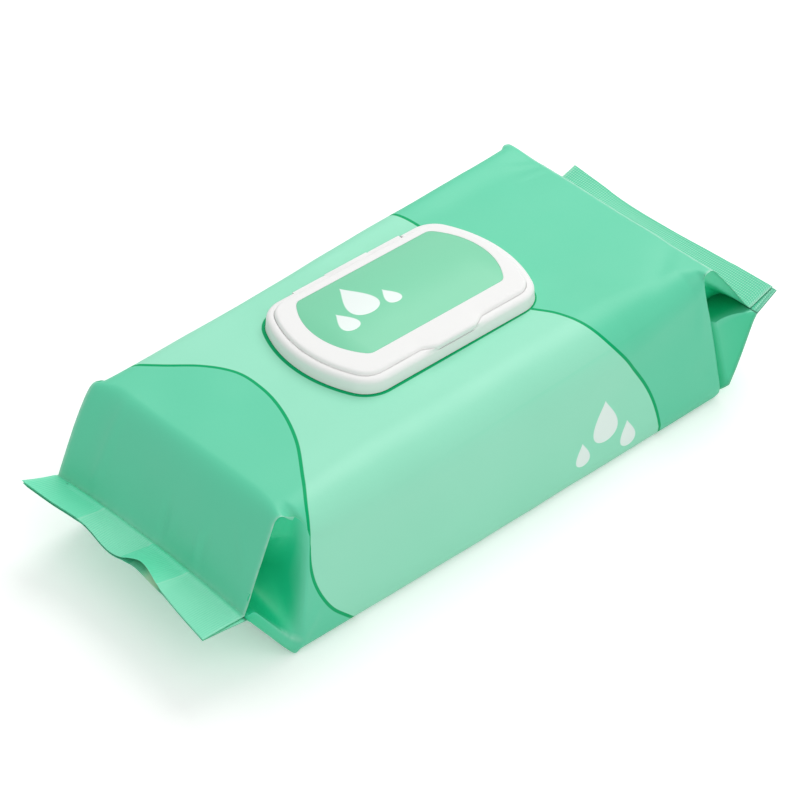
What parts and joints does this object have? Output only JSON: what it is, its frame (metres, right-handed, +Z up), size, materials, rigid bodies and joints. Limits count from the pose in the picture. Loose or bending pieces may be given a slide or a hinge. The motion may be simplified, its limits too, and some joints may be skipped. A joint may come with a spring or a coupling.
{
  "type": "wet wipes pack",
  "caption": "Soft flow-wrapped pack of wet wipes with tucked gusset ends, flat end seals and a hinged flip lid over a dispensing window.",
  "frame": {"origin": "on the base, under the middle of the pack", "axes": "+X along the pack, +Y towards the side where the lid is hinged, +Z up"},
  "size_m": [0.272, 0.106, 0.0672],
  "materials": {
    "film_print": "satin printed film in two mint greens with dark green lines",
    "nonwoven": "damp white embossed nonwoven",
    "white_moulding": "satin white polypropylene moulding",
    "label_print": "smooth mint green printed film label"
  },
  "bodies": {
    "pack": {"film_wrap": "film_print", "wipes_stack": "nonwoven", "lid_frame": "white_moulding"},
    "lid": {"flip_lid": "white_moulding", "lid_label": "label_print"}
  },
  "joints": [
    {"name": "lid_hinge", "type": "hinge", "parent": "pack", "child": "lid", "pos_m": [0.0014, 0.0385, 0.0646], "axis": [-1, 0, 0], "range_deg": [0, 150]}
  ]
}
